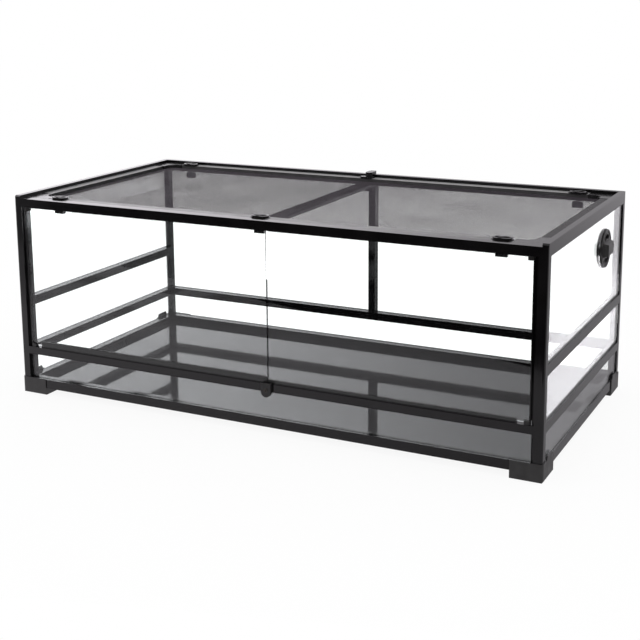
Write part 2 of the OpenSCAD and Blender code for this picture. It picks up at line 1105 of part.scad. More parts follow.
// Thumb-turn: an open oval ring with a slanting grip across it
module thumb_turn(p, slant) {
    color([0.08, 0.08, 0.08])
        translate([p[0], p[1], 0]) {
            lock_stem(knob_z);
            translate([0, 0, knob_z])
                linear_extrude(knob_base_t)
                    oval(knob_len, knob_w);
            translate([0, 0, knob_z])
                linear_extrude(knob_h)
                    difference() {
                        oval(knob_len, knob_w);
                        oval(knob_len - 2 * knob_wall, knob_w - 2 * knob_wall);
                    }
            translate([0, 0, knob_z])
                rotate([0, 0, slant])
                    linear_extrude(knob_h + 1)
                        square([knob_w - 3, knob_wall], center = true);
        }
}

// Lever of the lock in the middle of the rear: it reaches back over the rim
module rear_lever(p) {
    lever_w = 17;
    reach = 28;
    block_top = lid_top + plate_t + 3;
    lever_z = tank_h + 1;
    lever_t = 7;
    color([0.08, 0.08, 0.08])
        translate([p[0], p[1], 0]) {
            lock_stem(block_top, tail = 21);
            translate([0, 0, block_top + 0.3])
                cylinder(h = lever_z - block_top + lever_t - 0.3, r = lever_w / 2);
            translate([0, 0, lever_z])
                linear_extrude(lever_t) {
                    translate([-lever_w / 2, 0])
                        square([lever_w, reach - 5]);
                    translate([-lever_w / 2 + 2, reach - 6])
                        square([lever_w - 4, 6]);
                }
        }
}

// ---------- assembly ----------

foot(-1, -1);  // foot_front_left
foot(1, -1);  // foot_front_right
foot(-1, 1);  // foot_rear_left
foot(1, 1);  // foot_rear_right
post(-1, -1);  // post_front_left
post(1, -1);  // post_front_right
post(-1, 1);  // post_rear_left
post(1, 1);  // post_rear_right
top_corner_caps();
bottom_rail_front();
bottom_rail_rear();
bottom_rail_left();
bottom_rail_right();
top_rail_front();
top_rail_rear();
top_rail_left();
top_rail_right();
front_sill();
rear_mid_rail();
side_rail(-1, sill_z, mid_rail_h);  // lower_side_rail_left
side_rail(1, sill_z, mid_rail_h);  // lower_side_rail_right
side_rail(-1, upper_rail_z, upper_rail_h);  // upper_side_rail_left
side_rail(1, upper_rail_z, upper_rail_h);  // upper_side_rail_right
rear_centre_post();
floor_panel();
front_lower_glass();
rear_lower_glass();
rear_upper_glass(-1);  // rear_upper_glass_left
rear_upper_glass(1);  // rear_upper_glass_right
side_glass(-1, bottom_rail_top, sill_z);  // left_lower_glass
side_glass(-1, mid_rail_top, upper_rail_z);  // left_middle_glass
side_glass(-1, upper_rail_top, top_rail_z);  // left_upper_glass
side_glass(1, bottom_rail_top, sill_z);  // right_lower_glass
side_glass(1, mid_rail_top, upper_rail_z);  // right_middle_glass
right_upper_glass();
port_outer_flange();
port_inner_flange();
port_dial();
lock_housing();
lock_plug();
lock_bolt();
left_door_glass();
left_door_pivots();
left_door_strip();
right_door_glass();
right_door_pivots();
right_door_strip();
lid_bar_front();
lid_bar_rear();
lid_bar_left();
lid_bar_right();
lid_plates();
lid_mesh();
lid_cross_bar();
thumb_turn(lock_spots()[0], 50);  // lid_lock_front_left
thumb_turn(lock_spots()[1], 50);  // lid_lock_front_middle
thumb_turn(lock_spots()[2], 50);  // lid_lock_front_right
thumb_turn(lock_spots()[3], 50);  // lid_lock_rear_left
rear_lever(lock_spots()[4]);  // lid_lock_rear_middle
thumb_turn(lock_spots()[5], 50);  // lid_lock_rear_right
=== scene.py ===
# %% [markdown]
# # A framed glass terrarium
#
# The real object is a flat-packed tank for reptiles, 48 inches wide: black extruded
# bars push into moulded feet and corner caps, panes of float glass slide into grooves
# in the bars, and a mesh lid drops into the rim. The construction comes ready made as
# the fixed frame. This lesson gives each part its finish, swaps the plain sheet in the
# lid for real woven wire, adds the thin trims, glazes the sides again nearly flush, and
# lights it all like a studio shot.

# %% Load the fixed frame
import math

import bmesh
import bpy
from mathutils import Matrix, Vector


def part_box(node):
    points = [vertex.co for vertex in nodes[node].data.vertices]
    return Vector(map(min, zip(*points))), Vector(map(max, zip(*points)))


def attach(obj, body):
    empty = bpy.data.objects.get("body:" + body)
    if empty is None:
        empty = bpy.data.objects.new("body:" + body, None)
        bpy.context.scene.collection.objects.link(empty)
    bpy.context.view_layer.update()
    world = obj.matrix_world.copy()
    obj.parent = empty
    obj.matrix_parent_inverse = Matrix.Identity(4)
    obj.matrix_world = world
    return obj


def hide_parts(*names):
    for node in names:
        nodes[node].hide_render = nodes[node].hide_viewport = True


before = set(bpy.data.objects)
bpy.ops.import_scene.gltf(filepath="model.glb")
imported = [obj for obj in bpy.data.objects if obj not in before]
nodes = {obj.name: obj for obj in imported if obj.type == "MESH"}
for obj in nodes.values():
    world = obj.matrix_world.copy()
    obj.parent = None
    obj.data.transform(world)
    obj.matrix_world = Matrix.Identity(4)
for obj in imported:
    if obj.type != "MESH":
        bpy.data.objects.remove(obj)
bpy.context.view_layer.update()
MM = 0.001

# %% [markdown]
# ## The camera
#
# The tank is wide and low, and a lens near it makes the near corner loom. So the camera
# stands to the right of the tank, turned left, a little above the rim, and about three
# tank widths away. Its place was found by matching the tank's corners, which fixes the
# distance and the focal length together. The lens is shifted a little, as an architect
# does to keep uprights upright: a negative shift lifts the tank in the picture.

# %% Place the camera
CAMERA_PLACE = Vector((1.1979, -2.4026, 0.9289))
YAW, PITCH, ROLL = math.radians(-26.51), math.radians(11.41), math.radians(-0.38)
PICTURE_PX = 640
FOCAL_PX = 1222.65
SENSOR_MM = 36.0
LENS_SHIFT = -0.15  # in picture widths

ahead = Vector(
    (math.sin(YAW) * math.cos(PITCH), math.cos(YAW) * math.cos(PITCH), -math.sin(PITCH))
)
level = Vector((math.cos(YAW), -math.sin(YAW), 0.0))
above = level.cross(ahead)
right = math.cos(ROLL) * level + math.sin(ROLL) * above
up = right.cross(ahead)

lens = bpy.data.cameras.new("studio_camera")
lens.sensor_width = SENSOR_MM
lens.lens = FOCAL_PX / PICTURE_PX * SENSOR_MM
lens.shift_y = LENS_SHIFT
lens.clip_start, lens.clip_end = 0.05, 60.0
camera = bpy.data.objects.new("studio_camera", lens)
bpy.context.scene.collection.objects.link(camera)
camera.matrix_world = Matrix.Translation(CAMERA_PLACE) @ Matrix(
    (right, up, -ahead)
).transposed().to_4x4()
bpy.context.scene.camera = camera
bpy.context.scene.view_settings.view_transform = "Standard"
print(f"lens {lens.lens:.1f} mm, camera {CAMERA_PLACE.length:.2f} m from the middle")

# %% [markdown]
# ## Two small helpers
#
# A colour is easiest to think of as the hex value seen on a screen, while Blender's
# shaders want linear light. One function turns the first into the second. The other
# adds a node, sets it up and plugs it in, so that a material reads as a short list.

# %% Colour and node helpers
def linear(colour):
    """Turns an sRGB hex colour such as '#808080' into linear RGBA."""
    shares = [int(colour[i : i + 2], 16) / 255 for i in (1, 3, 5)]
    return [
        *(s / 12.92 if s <= 0.04045 else ((s + 0.055) / 1.055) ** 2.4 for s in shares),
        1.0,
    ]


def add(tree, kind, settings=None, sockets=None):
    """Adds a node. A socket is given a number or colour, or another node's output."""
    node = tree.nodes.new("ShaderNode" + kind)
    for name, value in (settings or {}).items():
        setattr(node, name, value)
    for name, value in (sockets or {}).items():
        if isinstance(value, bpy.types.NodeSocket):
            tree.links.new(value, node.inputs[name])
        else:
            node.inputs[name].default_value = value
    return node


print("mid grey in linear light:", [round(c, 3) for c in linear("#808080")])

# %% [markdown]
# ## Studio: a bright side, a dark side
#
# Glossy black plastic shows little of its own colour: what the eye reads is the room
# in it. So the world is painted for rays that come off a gloss, by their direction. A
# broad soft lamp stands behind and to the left, and what is mirrored gets dimmer to the
# right. In front the studio is dark, but for a soft lamp above the camera: the uprights
# turn black, while faces that look up a little stay grey. A ceiling light gives the
# lid's bars and the mesh their pale tops. Each fade is drawn over a part of a direction
# one unit long: X to the right, Y to the back, Z up.

# %% Split the world by direction
SOFT = {"interpolation_type": "SMOOTHSTEP"}
PRODUCT = {"operation": "MULTIPLY"}
ABOVE = {"operation": "GREATER_THAN"}
FAR_RIGHT = 0.31  # what is mirrored there, as a share of the brightness at the left
FRONT_LEFT, FRONT_DARK = 0.4, 0.008

world = bpy.data.worlds.new("studio")
bpy.context.scene.world = world
world.use_nodes = True
sky = world.node_tree
sky.nodes.clear()
way = add(sky, "TexCoord")
split = add(sky, "SeparateXYZ", {}, {"Vector": way.outputs["Generated"]})
left_right, front_back, up_down = split.outputs

from_left = add(
    sky,
    "MapRange",
    SOFT,
    {
        "Value": left_right,
        "From Min": -0.66,
        "From Max": -0.22,
        "To Min": 1.0,
        "To Max": FAR_RIGHT,
    },
)
dark_side = add(
    sky,
    "MapRange",
    {},
    {
        "Value": left_right,
        "From Min": -0.636,
        "From Max": -0.618,
        "To Min": FRONT_LEFT,
        "To Max": FRONT_DARK,
    },
)
print("mirrored at the far right:", FAR_RIGHT, "and straight in front:", FRONT_DARK)

# %% Light the front, the back and the ceiling
FRONT_LAMP = 0.8
BACK_LIGHT = 1.75
CEILING_LIGHT = 2.4
UNDER_TABLE = 0.55

overhead = add(
    sky,
    "MapRange",
    SOFT,
    {
        "Value": up_down,
        "From Min": 0.08,
        "From Max": 0.3,
        "To Min": dark_side.outputs[0],
        "To Max": FRONT_LAMP,
    },
)
to_front = add(
    sky,
    "MapRange",
    SOFT,
    {
        "Value": front_back,
        "From Min": -0.35,
        "From Max": -0.05,
        "To Min": overhead.outputs[0],
        "To Max": 1.0,
    },
)
to_back = add(
    sky,
    "MapRange",
    SOFT,
    {
        "Value": front_back,
        "From Min": 0.3,
        "From Max": 0.8,
        "To Min": 1.0,
        "To Max": BACK_LIGHT,
    },
)
ceiling = add(
    sky,
    "MapRange",
    SOFT,
    {
        "Value": up_down,
        "From Min": 0.28,
        "From Max": 0.5,
        "To Min": 1.0,
        "To Max": CEILING_LIGHT,
    },
)
below = add(
    sky,
    "MapRange",
    SOFT,
    {
        "Value": up_down,
        "From Min": -0.04,
        "From Max": 0.04,
        "To Min": UNDER_TABLE,
        "To Max": 1.0,
    },
)
studio = to_front
for factor in (to_back, ceiling, below, from_left):
    studio = add(sky, "Math", PRODUCT, {0: studio.outputs[0], 1: factor.outputs[0]})
print("back light", BACK_LIGHT, "and ceiling", CEILING_LIGHT, "times the plain level")

# %% [markdown]
# ## Light for each kind of ray
#
# Only gloss sees that painted room. Rays that come straight from the camera meet plain
# white, so the picture's background is white. Rays that scatter off a matt surface meet
# an even grey-white, so that a colour looks as it is written. Rays that have passed
# through glass would lose some light at every pane, so they meet a brighter white, a
# little pink against the green of the glass.

# %% Choose the light by the kind of ray
SCATTERED = 0.88
THROUGH_GLASS = 1.6
WHITE = (1, 1, 1, 1)
LAMP_TINT = (1.0, 0.965, 1.01, 1)
GLASS_LIGHT = (1.0, 0.97, 0.98, 1)  # the panes' own tint makes it white again

ray = add(sky, "LightPath")
mirrored = add(sky, "Math", ABOVE, {0: ray.outputs["Glossy Depth"], 1: 0.5})
even = add(sky, "Background", {}, {"Color": WHITE, "Strength": SCATTERED})
through = add(sky, "Background", {}, {"Color": GLASS_LIGHT, "Strength": THROUGH_GLASS})
mirror = add(sky, "Background", {}, {"Color": LAMP_TINT, "Strength": studio.outputs[0]})
seen = add(sky, "Background", {}, {"Color": WHITE, "Strength": 1.0})
lit = even
for fac, on in (
    (ray.outputs["Is Transmission Ray"], through),
    (mirrored.outputs[0], mirror),
    (ray.outputs["Is Camera Ray"], seen),
):
    lit = add(sky, "MixShader", {}, {"Fac": fac, 1: lit.outputs[0], 2: on.outputs[0]})
add(sky, "OutputWorld", {}, {"Surface": lit.outputs[0]})
print("scattered light", SCATTERED, "and light through glass", THROUGH_GLASS)

# %% [markdown]
# ## The table
#
# A real table top would turn grey away from the lamps. This one is mostly glowing
# white, with a small share of plain white paint, so that the tank's shadow still falls
# on it. Its glow is worked out so that glow and paint together give exactly white. As
# the world does, it shows a mirror something else: it gets dimmer to the right and
# towards its front edge, and brighter far behind, where the lamp stands. Rays inside
# the glass find one more lamp beside the tank, which lays the white veil on the right
# panes. The sums run on the table's own coordinates, in metres.

# %% Paint what a mirror finds on the table
LEFT_SHARE, RIGHT_SHARE = 1.05, 0.40
NEAR_SHARE, FAR_SHARE = 0.85, 1.5
EDGE_SHARE = 0.45
SIDE_LAMP, SIDE_LAMP_FAR = 4.9, 2.3

paint = bpy.data.materials.new("white_table_laminate")
paint.use_nodes = True
tree = paint.node_tree
tree.nodes.clear()
place = add(tree, "TexCoord")
split = add(tree, "SeparateXYZ", {}, {"Vector": place.outputs["Object"]})
left_right, front_back, _ = split.outputs

to_right = add(
    tree,
    "MapRange",
    {},
    {
        "Value": left_right,
        "From Min": -1.5,
        "From Max": 0.5,
        "To Min": LEFT_SHARE,
        "To Max": RIGHT_SHARE,
    },
)
far_lamp = add(
    tree,
    "MapRange",
    {},
    {
        "Value": front_back,
        "From Min": 1.5,
        "From Max": 3.0,
        "To Min": NEAR_SHARE,
        "To Max": FAR_SHARE,
    },
)
front_edge = add(
    tree,
    "MapRange",
    {},
    {"Value": front_back, "From Min": -1.1, "From Max": -0.85, "To Min": EDGE_SHARE},
)
dimmed = add(tree, "Math", PRODUCT, {0: to_right.outputs[0], 1: far_lamp.outputs[0]})
dimmed = add(tree, "Math", PRODUCT, {0: dimmed.outputs[0], 1: front_edge.outputs[0]})
print("mirrored table: from", LEFT_SHARE, "at the left to", RIGHT_SHARE, "at the right")

# %% Add the lamp that only the glass finds
side_lamp = add(
    tree,
    "MapRange",
    SOFT,
    {
        "Value": left_right,
        "From Min": 0.8,
        "From Max": 0.97,
        "To Min": SIDE_LAMP,
        "To Max": SIDE_LAMP_FAR,
    },
)
beside = add(
    tree,
    "MapRange",
    SOFT,
    {
        "Value": left_right,
        "From Min": 0.668,
        "From Max": 0.680,
        "To Min": dimmed.outputs[0],
        "To Max": side_lamp.outputs[0],
    },
)
ray = add(tree, "LightPath")
in_glass = add(tree, "Math", ABOVE, {0: ray.outputs["Transmission Depth"], 1: 0.5})
strength = add(
    tree,
    "Mix",
    {},
    {0: in_glass.outputs[0], 2: dimmed.outputs[0], 3: beside.outputs[0]},
)
print("the lamp in the glass is", SIDE_LAMP, "times the plain level")

# %% Mix glow and paint
SHADOW_SHARE = 0.10
GLOW = (1 - SHADOW_SHARE * SCATTERED) / (1 - SHADOW_SHARE)

mirrored = add(tree, "Math", ABOVE, {0: ray.outputs["Glossy Depth"], 1: 0.5})
matt = add(tree, "BsdfDiffuse", {}, {"Color": WHITE})
glow = add(tree, "Emission", {}, {"Color": WHITE, "Strength": GLOW})
through = add(tree, "Emission", {}, {"Color": GLASS_LIGHT, "Strength": THROUGH_GLASS})
mirror = add(
    tree, "Emission", {}, {"Color": LAMP_TINT, "Strength": strength.outputs[0]}
)
top = glow
for fac, on in (
    (ray.outputs["Is Transmission Ray"], through),
    (mirrored.outputs[0], mirror),
    (SHADOW_SHARE, matt),
):
    top = add(tree, "MixShader", {}, {"Fac": fac, 1: top.outputs[0], 2: on.outputs[0]})
add(tree, "OutputMaterial", {}, {"Surface": top.outputs[0]})
print("table glow", round(GLOW, 4), "with a painted share of", SHADOW_SHARE)

# %% [markdown]
# ## The table's edge
#
# The table ends a short way in front of the tank, and the dark beyond that edge turns
# the upper half of the front bars black. The edge runs slanting, nearer to the tank at
# the right, so the grey climbs higher on the bars at the left. The top is one grid
# square, stretched and pushed back, with its two front corners moved. Every piece made
# here ends the same way, from bmesh to an object in the scene, so a helper does that.

# %% Lay the table top
TABLE_FRONT = -0.945
TABLE_FAR = 9.0
SLANT = 0.3
SLANT_FROM_X = 0.43  # the edge is TABLE_FRONT away at this place


def piece_from(shape, name, material):
    """Turns a finished bmesh into an object in the scene, with one material."""
    mesh = bpy.data.meshes.new(name)
    shape.to_mesh(mesh)
    shape.free()
    mesh.materials.append(material)
    piece = bpy.data.objects.new(name, mesh)
    bpy.context.scene.collection.objects.link(piece)
    return piece


shape = bmesh.new()
bmesh.ops.create_grid(shape, x_segments=1, y_segments=1, size=1.0)
half_deep = (TABLE_FAR - TABLE_FRONT) / 2
bmesh.ops.scale(shape, vec=(TABLE_FAR, half_deep, 1), verts=shape.verts)
bmesh.ops.translate(shape, vec=(0, TABLE_FRONT + half_deep, 0), verts=shape.verts)
for vert in shape.verts:
    if vert.co.y < 0:
        vert.co.y += SLANT * (vert.co.x - SLANT_FROM_X)
table_top = piece_from(shape, "table_top", paint)
print("table from y =", TABLE_FRONT, "to", TABLE_FAR, "m")

# %% [markdown]
# ## How a finish is built
#
# Every finish is one Principled shader fed by a few patterns on the part's own
# coordinates, in metres. A Noise Texture of scale 1 has features of about one unit, so
# features of s millimetres need a scale of 1000 / s. An unequal stretch makes the long
# streaks of an extruded bar. Noise seldom leaves the middle of its range, so a Map
# Range from 0.35 to 0.65 spreads that middle over the values that are wanted.

# %% Start of a finish
MIDDLE = {"From Min": 0.35, "From Max": 0.65}
COLOUR = {"data_type": "RGBA"}


def start(name):
    """A new material with an empty tree, and the part's own coordinates in it."""
    material = bpy.data.materials.new(name)
    material.use_nodes = True
    material.node_tree.nodes.clear()
    place = add(material.node_tree, "TexCoord").outputs["Object"]
    return material, material.node_tree, place


def per_mm(size):
    """The scale of a pattern whose features are this many millimetres wide."""
    return 1 / (size * MM)


print("a 2 mm grain needs a noise scale of", per_mm(2))

# %% [markdown]
# ## Extruded PVC bars
#
# The bars are PVC pushed through a steel die and left as they come out: near-black,
# very glossy, with faint die lines along their whole length and a slow waviness that
# bends what they mirror. The lines run along the bar, so the same finish is made three
# times, with the pattern drawn out along X, along Y and along Z.

# %% Finish the bars
PVC_IOR = 1.53
DIE_LINE_MM, DIE_LINE_DEPTH_MM = 0.9, 0.003
WAVE_MM, WAVE_DEPTH_MM = 35, 0.05
CLOUD_MM = 60
DRAWN_OUT = 1 / 400


def extruded(axis):
    """Glossy black PVC with die lines along one axis."""
    material, tree, place = start("extruded_pvc_" + "xyz"[axis])
    along = [DRAWN_OUT if i == axis else 1.0 for i in range(3)]
    drawn = add(tree, "Mapping", {}, {"Vector": place, "Scale": along})
    lines = add(
        tree,
        "TexNoise",
        {},
        {"Vector": drawn.outputs[0], "Scale": per_mm(DIE_LINE_MM), "Detail": 3.0},
    )
    cloud = add(tree, "TexNoise", {}, {"Vector": place, "Scale": per_mm(CLOUD_MM)})
    cloud = add(tree, "MapRange", {}, {"Value": cloud.outputs[0], **MIDDLE})
    black = add(
        tree,
        "Mix",
        COLOUR,
        {0: cloud.outputs[0], 6: linear("#0b0a0b"), 7: linear("#100f10")},
    )
    gloss = add(
        tree,
        "MapRange",
        {},
        {"Value": lines.outputs[0], **MIDDLE, "To Min": 0.06, "To Max": 0.15},
    )
    swell = add(
        tree, "TexNoise", {}, {"Vector": place, "Scale": per_mm(WAVE_MM), "Detail": 1.0}
    )
    waves = add(
        tree, "Bump", {}, {"Height": swell.outputs[0], "Distance": WAVE_DEPTH_MM * MM}
    )
    ridges = add(
        tree,
        "Bump",
        {},
        {
            "Height": lines.outputs[0],
            "Distance": DIE_LINE_DEPTH_MM * MM,
            "Normal": waves.outputs[0],
        },
    )
    shader = add(
        tree,
        "BsdfPrincipled",
        {},
        {
            "Base Color": black.outputs[2],
            "Roughness": gloss.outputs[0],
            "IOR": PVC_IOR,
            "Normal": ridges.outputs[0],
        },
    )
    add(tree, "OutputMaterial", {}, {"Surface": shader.outputs[0]})
    return material


bar_finish = [extruded(axis) for axis in range(3)]
print("bar finishes:", [m.name for m in bar_finish])

# %% [markdown]
# ## Moulded ABS
#
# Feet, port, pivots and lock housing are injection moulded from black ABS. The mould is
# lightly blasted, which leaves a fine even grain and a satin sheen, and the feet and
# the port are a touch greyer than the rest. The lid's corner plates and thumb-turns
# come from a polished mould, which leaves nearly the gloss of the bars. Only colour,
# roughness and depth of grain differ, so one function makes them all.

# %% Finish the mouldings
ABS_IOR = 1.54
BLAST_GRAIN_MM = 0.8  # the real grain is about 0.2 mm, too fine to show
FLOW_MM = 22
BLASTED_DEPTH_MM, POLISHED_DEPTH_MM = 0.02, 0.008


def moulded(name, colours, rough, depth_mm, sheen=0.0, mirror=0.5):
    """Black plastic with an even grain: mirror is the specular level, 0.5 is plain."""
    material, tree, place = start(name)
    flow = add(
        tree, "TexNoise", {}, {"Vector": place, "Scale": per_mm(FLOW_MM), "Detail": 3.0}
    )
    flow = add(tree, "MapRange", {}, {"Value": flow.outputs[0], **MIDDLE})
    black = add(
        tree,
        "Mix",
        COLOUR,
        {0: flow.outputs[0], 6: linear(colours[0]), 7: linear(colours[1])},
    )
    satin = add(
        tree,
        "MapRange",
        {},
        {"Value": flow.outputs[0], "To Min": rough[0], "To Max": rough[1]},
    )
    fine = add(
        tree,
        "TexNoise",
        {},
        {"Vector": place, "Scale": per_mm(BLAST_GRAIN_MM), "Detail": 1.0},
    )
    blasted = add(
        tree, "Bump", {}, {"Height": fine.outputs[0], "Distance": depth_mm * MM}
    )
    shader = add(
        tree,
        "BsdfPrincipled",
        {},
        {
            "Base Color": black.outputs[2],
            "Roughness": satin.outputs[0],
            "IOR": ABS_IOR,
            "Normal": blasted.outputs[0],
            "Specular IOR Level": mirror,
            "Sheen Weight": sheen,
            "Sheen Roughness": 0.3,
        },
    )
    add(tree, "OutputMaterial", {}, {"Surface": shader.outputs[0]})
    return material


satin_abs = moulded(
    "blasted_abs_black", ("#161515", "#1c1b1b"), (0.28, 0.40), BLASTED_DEPTH_MM
)
foot_abs = moulded(
    "blasted_abs_foot", ("#232222", "#2b2a2a"), (0.28, 0.40), BLASTED_DEPTH_MM
)
gloss_abs = moulded(
    "polished_abs_black", ("#1a191a", "#201f20"), (0.14, 0.22), POLISHED_DEPTH_MM
)
print("mouldings:", satin_abs.name, foot_abs.name, gloss_abs.name)

# %% [markdown]
# ## The lid's textured bars
#
# The lid's own bars are PVC with a fine texture pressed in, which kills the mirror and
# catches light at a flat angle. A little sheen stands for that. The rear bar is painted
# greyer and given the most sheen: painted light from the lamp behind. The right bar is
# painted darker and smoother, hardly a mirror: painted shade beside the rim.

# %% Finish the lid's bars
lid_bar_pvc = moulded(
    "textured_pvc_lid_bar",
    ("#1a191a", "#211f21"),
    (0.34, 0.44),
    BLASTED_DEPTH_MM,
    sheen=0.5,
)
# painted light: a greyer colour and full sheen make the rear bar look lit
lit_rear_bar_pvc = moulded(
    "lid_bar_pvc_painted_light",
    ("#3a393a", "#434143"),
    (0.46, 0.56),
    BLASTED_DEPTH_MM,
    sheen=1.0,
)
# painted shade: a darker colour and almost no mirror make the right bar look shaded
shaded_right_bar_pvc = moulded(
    "lid_bar_pvc_painted_shade",
    ("#0f0e0f", "#151415"),
    (0.2, 0.28),
    BLASTED_DEPTH_MM,
    mirror=0.05,
)
print("lid bars:", lid_bar_pvc.name, lit_rear_bar_pvc.name, shaded_right_bar_pvc.name)

# %% [markdown]
# ## Float glass
#
# The panes are ordinary 5 mm float glass: clear, with a faint tint that only shows
# where light runs along the pane to a cut edge. Glass that is lit only by lamps and sky
# would throw a black shadow, so for lamp rays and scattered rays the pane is simply
# clear.

# %% Finish the glass
GLASS_TINT = "#f9fcfb"
LET_THROUGH = (0.94, 0.95, 0.95, 1)
ROLLER_WAVE_MM, ROLLER_DEPTH_MM = 160, 0.012

glass, tree, place = start("float_glass_clear")
swell = add(
    tree,
    "TexNoise",
    {},
    {"Vector": place, "Scale": per_mm(ROLLER_WAVE_MM), "Detail": 0.0},
)
wave = add(
    tree, "Bump", {}, {"Height": swell.outputs[0], "Distance": ROLLER_DEPTH_MM * MM}
)
shader = add(
    tree,
    "BsdfPrincipled",
    {},
    {
        "Base Color": linear(GLASS_TINT),
        "Roughness": 0.0,
        "IOR": 1.5,
        "Transmission Weight": 1.0,
        "Normal": wave.outputs[0],
    },
)
clear = add(tree, "BsdfTransparent", {}, {"Color": LET_THROUGH})
ray = add(tree, "LightPath")
lighting = add(
    tree,
    "Math",
    {"operation": "MAXIMUM"},
    {0: ray.outputs["Is Shadow Ray"], 1: ray.outputs["Is Diffuse Ray"]},
)
pane = add(
    tree,
    "MixShader",
    {},
    {"Fac": lighting.outputs[0], 1: shader.outputs[0], 2: clear.outputs[0]},
)
add(tree, "OutputMaterial", {}, {"Surface": pane.outputs[0]})
print("glass:", glass.name)

# %% [markdown]
# ## Black-backed floor
#
# The floor panel is glass with a black coat on its underside, and it mirrors the
# uprights. At a low angle it mirrors the lamp behind too, and reads as mid grey. Dust
# and wiping leave it slightly less than mirror sharp: the wipes run left to right, so
# that pattern is drawn out along X.

# %% Finish the floor panel
WIPE_MM, WIPE_DRAWN_OUT = 9, 1 / 6
FLOOR_CLOUD_MM = 120
FLOOR_WAVE_MM, FLOOR_DEPTH_MM = 220, 0.02

floor_glass, tree, place = start("black_backed_glass")
drawn = add(tree, "Mapping", {}, {"Vector": place, "Scale": (WIPE_DRAWN_OUT, 1, 1)})
wipes = add(
    tree,
    "TexNoise",
    {},
    {"Vector": drawn.outputs[0], "Scale": per_mm(WIPE_MM), "Detail": 3.0},
)
gloss = add(
    tree,
    "MapRange",
    {},
    {"Value": wipes.outputs[0], **MIDDLE, "To Min": 0.025, "To Max": 0.07},
)
cloud = add(tree, "TexNoise", {}, {"Vector": place, "Scale": per_mm(FLOOR_CLOUD_MM)})
cloud = add(tree, "MapRange", {}, {"Value": cloud.outputs[0], **MIDDLE})
black = add(
    tree,
    "Mix",
    COLOUR,
    {0: cloud.outputs[0], 6: linear("#0b0b0d"), 7: linear("#111113")},
)
swell = add(
    tree,
    "TexNoise",
    {},
    {"Vector": place, "Scale": per_mm(FLOOR_WAVE_MM), "Detail": 0.0},
)
wave = add(
    tree, "Bump", {}, {"Height": swell.outputs[0], "Distance": FLOOR_DEPTH_MM * MM}
)
shader = add(
    tree,
    "BsdfPrincipled",
    {},
    {
        "Base Color": black.outputs[2],
        "Roughness": gloss.outputs[0],
        "IOR": 1.52,
        "Normal": wave.outputs[0],
    },
)
add(tree, "OutputMaterial", {}, {"Surface": shader.outputs[0]})
print("floor:", floor_glass.name)

# %% [markdown]
# ## Smoked strip, wire and lock metal
#
# The strips under the doors are smoked see-through PVC, extruded like the bars. The
# lid's wire is steel with a thin black powder coat, which is matt and slightly uneven.
# Its colour is painted lighter and darker in broad soft bands, a painted reflection of
# the light across the sheet. The lock's plug and bolt are zinc, die-cast, brushed and
# plated with dark nickel.

# %% Finish the strips
STRIP_LINE_MM, STRIP_DRAWN_OUT = 1.2, 1 / 60

smoked, tree, place = start("smoked_pvc")
drawn = add(tree, "Mapping", {}, {"Vector": place, "Scale": (STRIP_DRAWN_OUT, 1, 1)})
lines = add(
    tree, "TexNoise", {}, {"Vector": drawn.outputs[0], "Scale": per_mm(STRIP_LINE_MM)}
)
gloss = add(
    tree,
    "MapRange",
    {},
    {"Value": lines.outputs[0], **MIDDLE, "To Min": 0.08, "To Max": 0.2},
)
shader = add(
    tree,
    "BsdfPrincipled",
    {},
    {
        "Base Color": linear("#4c4d4d"),
        "Roughness": gloss.outputs[0],
        "IOR": PVC_IOR,
        "Transmission Weight": 0.7,
    },
)
add(tree, "OutputMaterial", {}, {"Surface": shader.outputs[0]})
print("strips:", smoked.name)

# %% Finish the wire
POWDER_GRAIN_MM, POWDER_DEPTH_MM = 0.5, 0.01
SHEEN_BAND_MM, SHEEN_BAND_DRAWN_OUT = 150, 1 / 1.6

wire_coat, tree, place = start("powder_coated_wire")
drawn = add(
    tree, "Mapping", {}, {"Vector": place, "Scale": (SHEEN_BAND_DRAWN_OUT, 1, 1)}
)
# painted reflection: broad soft bands of lighter and darker wire colour
painted_sheen_bands = add(
    tree, "TexNoise", {}, {"Vector": drawn.outputs[0], "Scale": per_mm(SHEEN_BAND_MM)}
)
painted_sheen_bands = add(tree, "MapRange", {}, {"Value": painted_sheen_bands.outputs[0], **MIDDLE})
coat = add(
    tree,
    "Mix",
    COLOUR,
    {0: painted_sheen_bands.outputs[0], 6: linear("#3c373d"), 7: linear("#474248")},
)
powder = add(
    tree,
    "TexNoise",
    {},
    {"Vector": place, "Scale": per_mm(POWDER_GRAIN_MM), "Detail": 1.0},
)
powder = add(
    tree, "Bump", {}, {"Height": powder.outputs[0], "Distance": POWDER_DEPTH_MM * MM}
)
shader = add(
    tree,
    "BsdfPrincipled",
    {},
    {
        "Base Color": coat.outputs[2],
        "Roughness": 0.42,
        "IOR": 1.5,
        "Specular IOR Level": 0.15,
        "Normal": powder.outputs[0],
    },
)
add(tree, "OutputMaterial", {}, {"Surface": shader.outputs[0]})
print("wire:", wire_coat.name)

# %% Finish the lock metal
BRUSH_MM, BRUSH_DRAWN_OUT = 0.25, 1 / 14

